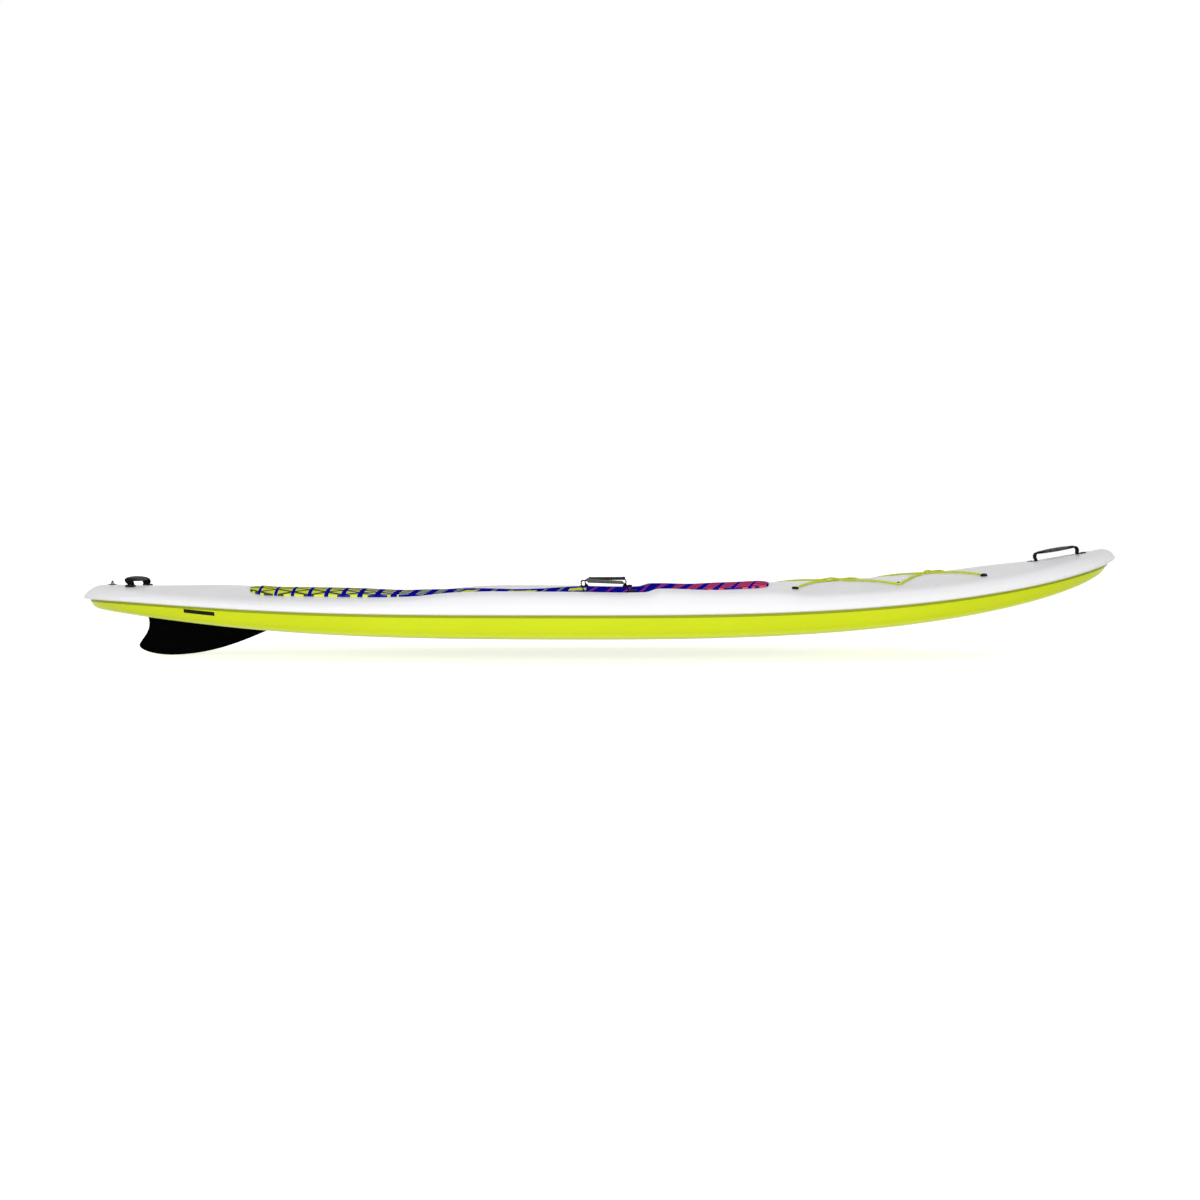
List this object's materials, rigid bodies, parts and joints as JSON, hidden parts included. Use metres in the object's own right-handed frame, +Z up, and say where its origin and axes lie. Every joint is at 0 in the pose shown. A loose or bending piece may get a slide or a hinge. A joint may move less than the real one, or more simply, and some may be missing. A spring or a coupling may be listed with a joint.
{
  "type": "stand-up paddle board",
  "caption": "Rigid stand-up paddle board with a foam deck pad, webbing carry handles, a crossed deck bungee, a leash eye and a long shallow fin that slides in its box.",
  "frame": {"origin": "middle of the board's length and width, at the height of the fin's lowest edge", "axes": "+X towards the bow, +Y to port, +Z up, with the board level as it floats"},
  "size_m": [3.18, 0.81, 0.3494],
  "materials": {
    "white_shell": "gloss, acrylic capped thermoformed sheet",
    "chartreuse_shell": "gloss, thermoformed sheet",
    "eva_foam": "matt closed-cell EVA foam, grooved",
    "foam_core": "matt expanded foam",
    "black_moulding": "satin black nylon",
    "black_webbing": "woven webbing",
    "black_rubber": "matt ribbed rubber",
    "chartreuse_cord": "braided elastic cord",
    "black_steel": "blackened stainless steel",
    "brass": "plain brass",
    "fin_box_plastic": "moulded nylon",
    "fin_plastic": "satin black moulded nylon"
  },
  "bodies": {
    "board": {"bow_handle_anchor_aft": "black_moulding", "bow_handle_anchor_fore": "black_moulding", "bow_handle_screw_aft": "black_steel", "bow_handle_screw_fore": "black_steel", "bungee_cap_aft_port": "black_moulding", "bungee_cap_aft_port_screw": "black_steel", "bungee_cap_aft_starboard": "black_moulding", "bungee_cap_aft_starboard_screw": "black_steel", "bungee_cap_fore_port": "black_moulding", "bungee_cap_fore_port_screw": "black_steel", "bungee_cap_fore_starboard": "black_moulding", "bungee_cap_fore_starboard_screw": "black_steel", "bungee_cord_port": "chartreuse_cord", "bungee_cord_starboard": "chartreuse_cord", "bungee_hook_port": "black_moulding", "bungee_hook_port_screw": "black_steel", "bungee_hook_starboard": "black_moulding", "bungee_hook_starboard_screw": "black_steel", "deck_pad": "eva_foam", "deck_shell": "white_shell", "fin_box": "fin_box_plastic", "foam_core_bow": "foam_core", "foam_core_mid": "foam_core", "foam_core_stern": "foam_core", "hull_shell": "chartreuse_shell", "leash_eye": "black_moulding", "leash_eye_screw_port": "black_steel", "leash_eye_screw_starboard": "black_steel", "port_handle_anchor_aft": "black_moulding", "port_handle_anchor_fore": "black_moulding", "port_handle_screw_aft": "black_steel", "port_handle_screw_fore": "black_steel", "starboard_handle_anchor_aft": "black_moulding", "starboard_handle_anchor_fore": "black_moulding", "starboard_handle_screw_aft": "black_steel", "starboard_handle_screw_fore": "black_steel", "stern_handle_anchor_port": "black_moulding", "stern_handle_anchor_starboard": "black_moulding", "stern_handle_screw_port": "black_steel", "stern_handle_screw_starboard": "black_steel"},
    "bow_handle": {"bow_handle_strap": "black_webbing", "bow_handle_grip": "black_rubber"},
    "stern_handle": {"stern_handle_strap": "black_webbing", "stern_handle_grip": "black_rubber"},
    "port_handle": {"port_handle_strap": "black_webbing", "port_handle_grip": "black_rubber"},
    "starboard_handle": {"starboard_handle_strap": "black_webbing", "starboard_handle_grip": "black_rubber"},
    "fin": {"fin": "fin_plastic", "fin_pin": "black_steel", "fin_plate_nut": "brass"},
    "fin_screw": {"fin_screw": "black_steel"}
  },
  "joints": [
    {"name": "bow_handle_swing", "type": "hinge", "parent": "board", "child": "bow_handle", "pos_m": [1.41457, 0, 0.30716], "axis": [0.9807, 0, 0.1956], "range_deg": [-50, 50], "stiffness_Nm_per_rad": 0.05},
    {"name": "stern_handle_swing", "type": "hinge", "parent": "board", "child": "stern_handle", "pos_m": [-1.42984, 0, 0.2178], "axis": [0, 1, 0], "range_deg": [-50, 50], "stiffness_Nm_per_rad": 0.05},
    {"name": "port_handle_swing", "type": "hinge", "parent": "board", "child": "port_handle", "pos_m": [0.01858, 0.26791, 0.206], "axis": [1, 0.0001, 0.0064], "range_deg": [-50, 50], "stiffness_Nm_per_rad": 0.05},
    {"name": "starboard_handle_swing", "type": "hinge", "parent": "board", "child": "starboard_handle", "pos_m": [0.01858, -0.26791, 0.206], "axis": [1, -0.0001, 0.0064], "range_deg": [-50, 50], "stiffness_Nm_per_rad": 0.05},
    {"name": "fin_slide", "type": "slide", "parent": "board", "child": "fin", "axis": [0.9961, 0, -0.0882], "range_m": [-0.015, 0.015]},
    {"name": "fin_screw_turn", "type": "hinge", "parent": "fin", "child": "fin_screw", "pos_m": [-0.97457, 0, 0.09953], "axis": [-0.0882, 0, -0.9961], "continuous": true}
  ]
}
